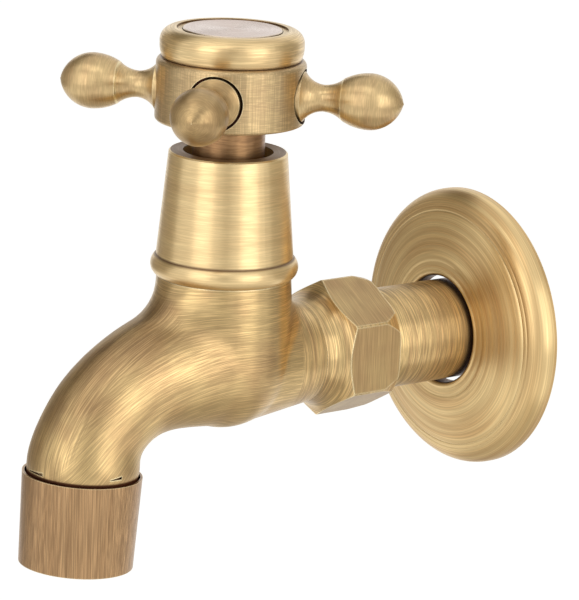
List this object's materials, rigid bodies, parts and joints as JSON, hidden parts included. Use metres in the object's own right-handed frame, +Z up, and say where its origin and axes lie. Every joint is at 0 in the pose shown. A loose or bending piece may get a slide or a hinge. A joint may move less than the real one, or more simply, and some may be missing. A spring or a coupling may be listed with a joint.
{
  "type": "cross handle bib tap",
  "caption": "Wall-mounted brass bib tap with a turned cross handle, a conical bonnet, a curved spout with an aerator sleeve and a loose wall flange.",
  "frame": {"origin": "on the inlet axis in the plane of the wall, where the threaded tail leaves the wall", "axes": "+Y into the wall along the threaded tail, +Z up along the spindle, +X to the right hand of the tap as seen from the room side looking along +Y"},
  "size_m": [0.0586, 0.1237, 0.1057],
  "materials": {
    "cast_brass": "antique brass casting, brushed by hand and lacquered",
    "turned_brass": "antique brass, turned and brushed round, lacquered",
    "dark_turned_brass": "antique brass, turned, browner than the rest",
    "satin_bronze_disc": "pinkish brown satin brass",
    "bright_brass": "plain machined brass, unseen inside",
    "ceramic": "lapped white alumina ceramic",
    "seal_rubber": "black rubber",
    "fibre_washer": "red fibre washer",
    "white_acetal": "white moulded acetal",
    "spring_steel": "oiled spring steel",
    "stainless_screw": "plain stainless steel",
    "stainless_mesh": "woven stainless mesh"
  },
  "bodies": {
    "tap": {"tap_body": "cast_brass", "bonnet_shroud": "turned_brass", "cartridge_housing": "bright_brass", "cartridge_washer": "fibre_washer", "seat_seal": "seal_rubber", "lower_ceramic_disc": "ceramic", "aerator_sleeve": "dark_turned_brass", "aerator_washer": "seal_rubber", "aerator_insert": "white_acetal", "aerator_screen": "stainless_mesh"},
    "handle": {"upper_ceramic_disc": "ceramic", "spindle": "bright_brass", "spindle_o_ring_lower": "seal_rubber", "spindle_o_ring_upper": "seal_rubber", "slip_ring": "white_acetal", "circlip": "spring_steel", "handle_core": "dark_turned_brass", "handle_drum": "turned_brass", "cap_ring": "turned_brass", "index_disc": "satin_bronze_disc", "index_o_ring": "seal_rubber", "arm_right": "turned_brass", "arm_back": "turned_brass", "arm_left": "turned_brass", "arm_front": "turned_brass", "handle_screw": "stainless_screw"},
    "flange": {"wall_flange": "turned_brass"}
  },
  "joints": [
    {"name": "handle_turn", "type": "hinge", "parent": "tap", "child": "handle", "pos_m": [0, -0.0643, 0.0559], "axis": [0, 0, 1], "range_deg": [0, 90]},
    {"name": "flange_slide", "type": "slide", "parent": "tap", "child": "flange", "axis": [0, -1, 0], "range_m": [0, 0.0195]}
  ]
}
